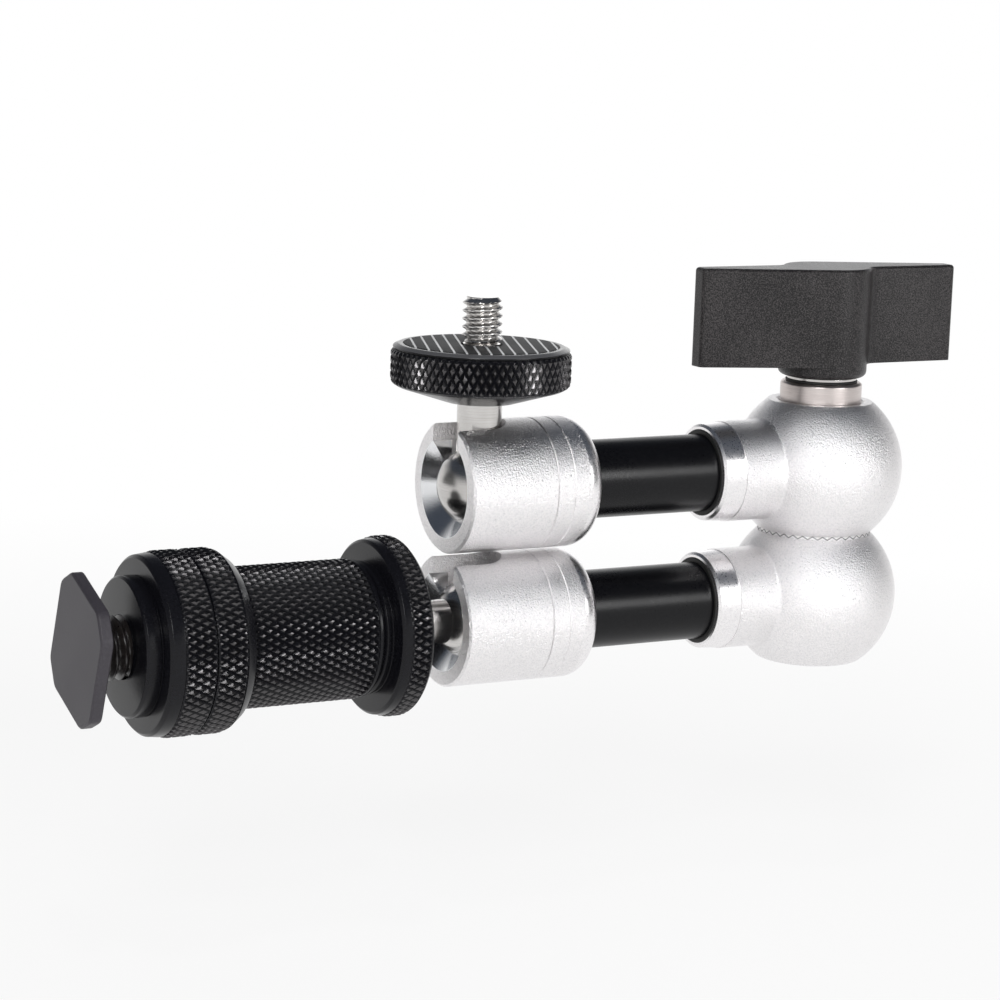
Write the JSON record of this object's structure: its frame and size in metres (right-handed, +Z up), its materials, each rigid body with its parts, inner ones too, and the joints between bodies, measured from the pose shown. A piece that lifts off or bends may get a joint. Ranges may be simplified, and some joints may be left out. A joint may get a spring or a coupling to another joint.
{
  "type": "articulating friction arm",
  "caption": "Folded friction arm: knurled shoe adapter, ball-headed arms with a toothed elbow, winged locking knob and camera screw with a knurled lock disc.",
  "frame": {"origin": "centre of the shoe foot's outer face", "axes": "+X along the lower arm from the foot towards the elbow, +Z up along the elbow axis and the camera screw, +Y to complete a right-handed frame"},
  "size_m": [0.1558, 0.0284, 0.0694],
  "materials": {
    "foot_grey": "matte dark anodised",
    "knurl_black": "black anodised, diamond knurl",
    "ball_steel": "polished stainless",
    "satin_silver": "bead-blasted satin",
    "tube_black": "semi-gloss black",
    "seat_plastic": "natural acetal",
    "rod_alu": "drawn",
    "gasket_black": "matte",
    "collar_steel": "turned and brushed",
    "washer_black": "matte",
    "washer_steel": "bright",
    "knob_black": "fine speckled black coat",
    "insert_brass": "turned",
    "spring_steel": "drawn wire",
    "pad_rubber": "matte with fine lines"
  },
  "bodies": {
    "adapter": {"shoe_foot": "foot_grey", "grip_sleeve": "knurl_black"},
    "shoe_lock": {"shoe_lock_ring": "knurl_black"},
    "shoe_jam": {"shoe_jam_ring": "knurl_black"},
    "lower_stud": {"lower_ball_stud": "ball_steel"},
    "stud_lock": {"stud_lock_ring": "knurl_black"},
    "lower_cap": {"lower_socket_cap": "satin_silver"},
    "lower_arm": {"lower_cap_ring": "satin_silver", "lower_head_collar": "satin_silver", "lower_tube": "tube_black", "lower_tube_gasket": "gasket_black", "lower_hub": "satin_silver"},
    "lower_push": {"lower_push_rod": "rod_alu", "lower_ball_seat": "seat_plastic"},
    "bolt": {"draw_bolt": "collar_steel", "release_spring": "spring_steel"},
    "upper_arm": {"upper_hub": "satin_silver", "upper_tube": "tube_black", "upper_tube_gasket": "gasket_black", "upper_head_collar": "satin_silver", "upper_cap_ring": "satin_silver"},
    "wedge": {"wedge_sleeve": "collar_steel", "thrust_washer": "washer_black", "knob_washer": "washer_steel"},
    "winged_knob": {"knob": "knob_black", "knob_insert": "insert_brass"},
    "upper_push": {"upper_push_rod": "rod_alu", "upper_ball_seat": "seat_plastic"},
    "upper_cap": {"upper_socket_cap": "satin_silver"},
    "upper_stud": {"upper_ball_stud": "ball_steel"},
    "disc": {"lock_disc": "knurl_black", "disc_pad": "pad_rubber"}
  },
  "joints": [
    {"name": "shoe_clamp_slide", "type": "slide", "parent": "adapter", "child": "shoe_lock", "axis": [-1, 0, 0], "range_m": [0, 0.0044]},
    {"name": "shoe_jam_slide", "type": "slide", "parent": "adapter", "child": "shoe_jam", "axis": [-1, 0, 0], "range_m": [0, 0.0046]},
    {"name": "adapter_turn", "type": "hinge", "parent": "adapter", "child": "lower_stud", "pos_m": [0.067, 0, 0], "axis": [1, 0, 0], "continuous": true},
    {"name": "stud_ring_turn", "type": "hinge", "parent": "lower_stud", "child": "stud_lock", "pos_m": [0.067, 0, 0], "axis": [1, 0, 0], "continuous": true},
    {"name": "lower_ball_pitch", "type": "hinge", "parent": "lower_stud", "child": "lower_cap", "pos_m": [0.067, 0, 0], "axis": [0, 1, 0], "range_deg": [-24, 20]},
    {"name": "lower_head_turn", "type": "hinge", "parent": "lower_cap", "child": "lower_arm", "pos_m": [0.067, 0, 0], "axis": [1, 0, 0], "continuous": true},
    {"name": "lower_push_slide", "type": "slide", "parent": "lower_arm", "child": "lower_push", "axis": [1, 0, 0], "range_m": [0, 0.0003168]},
    {"name": "bolt_drop", "type": "slide", "parent": "lower_arm", "child": "bolt", "axis": [0, 0, -1], "range_m": [0, 0.00132], "deforming": ["release_spring"]},
    {"name": "elbow_turn", "type": "hinge", "parent": "lower_arm", "child": "upper_arm", "pos_m": [0.1316, 0, 0], "axis": [0, 0, 1], "continuous": true},
    {"name": "knob_lift", "type": "slide", "parent": "upper_arm", "child": "wedge", "axis": [0, 0, 1], "range_m": [0, 0.00125]},
    {"name": "knob_turn", "type": "hinge", "parent": "wedge", "child": "winged_knob", "pos_m": [0.1316, 0, 0], "axis": [0, 0, 1], "range_deg": [0, 720]},
    {"name": "upper_push_slide", "type": "slide", "parent": "upper_arm", "child": "upper_push", "axis": [1, 0, 0], "range_m": [0, 0.0003168]},
    {"name": "upper_head_turn", "type": "hinge", "parent": "upper_arm", "child": "upper_cap", "pos_m": [0.067, 0, 0.0215], "axis": [-1, 0, 0], "range_deg": [-100, 100]},
    {"name": "upper_stud_tilt", "type": "hinge", "parent": "upper_cap", "child": "upper_stud", "pos_m": [0.067, 0, 0.0215], "axis": [0, -1, 0], "range_deg": [0, 65]},
    {"name": "disc_turn", "type": "hinge", "parent": "upper_stud", "child": "disc", "pos_m": [0.067, 0, 0.0215], "axis": [0, 0, 1], "continuous": true}
  ],
  "couplings": [
    {"joint": "shoe_jam_slide", "follows": "shoe_clamp_slide", "ratio": 1},
    {"joint": "bolt_drop", "follows": "knob_lift", "ratio": 1},
    {"joint": "lower_push_slide", "follows": "knob_lift", "ratio": 0.24},
    {"joint": "upper_push_slide", "follows": "knob_lift", "ratio": 0.24}
  ]
}
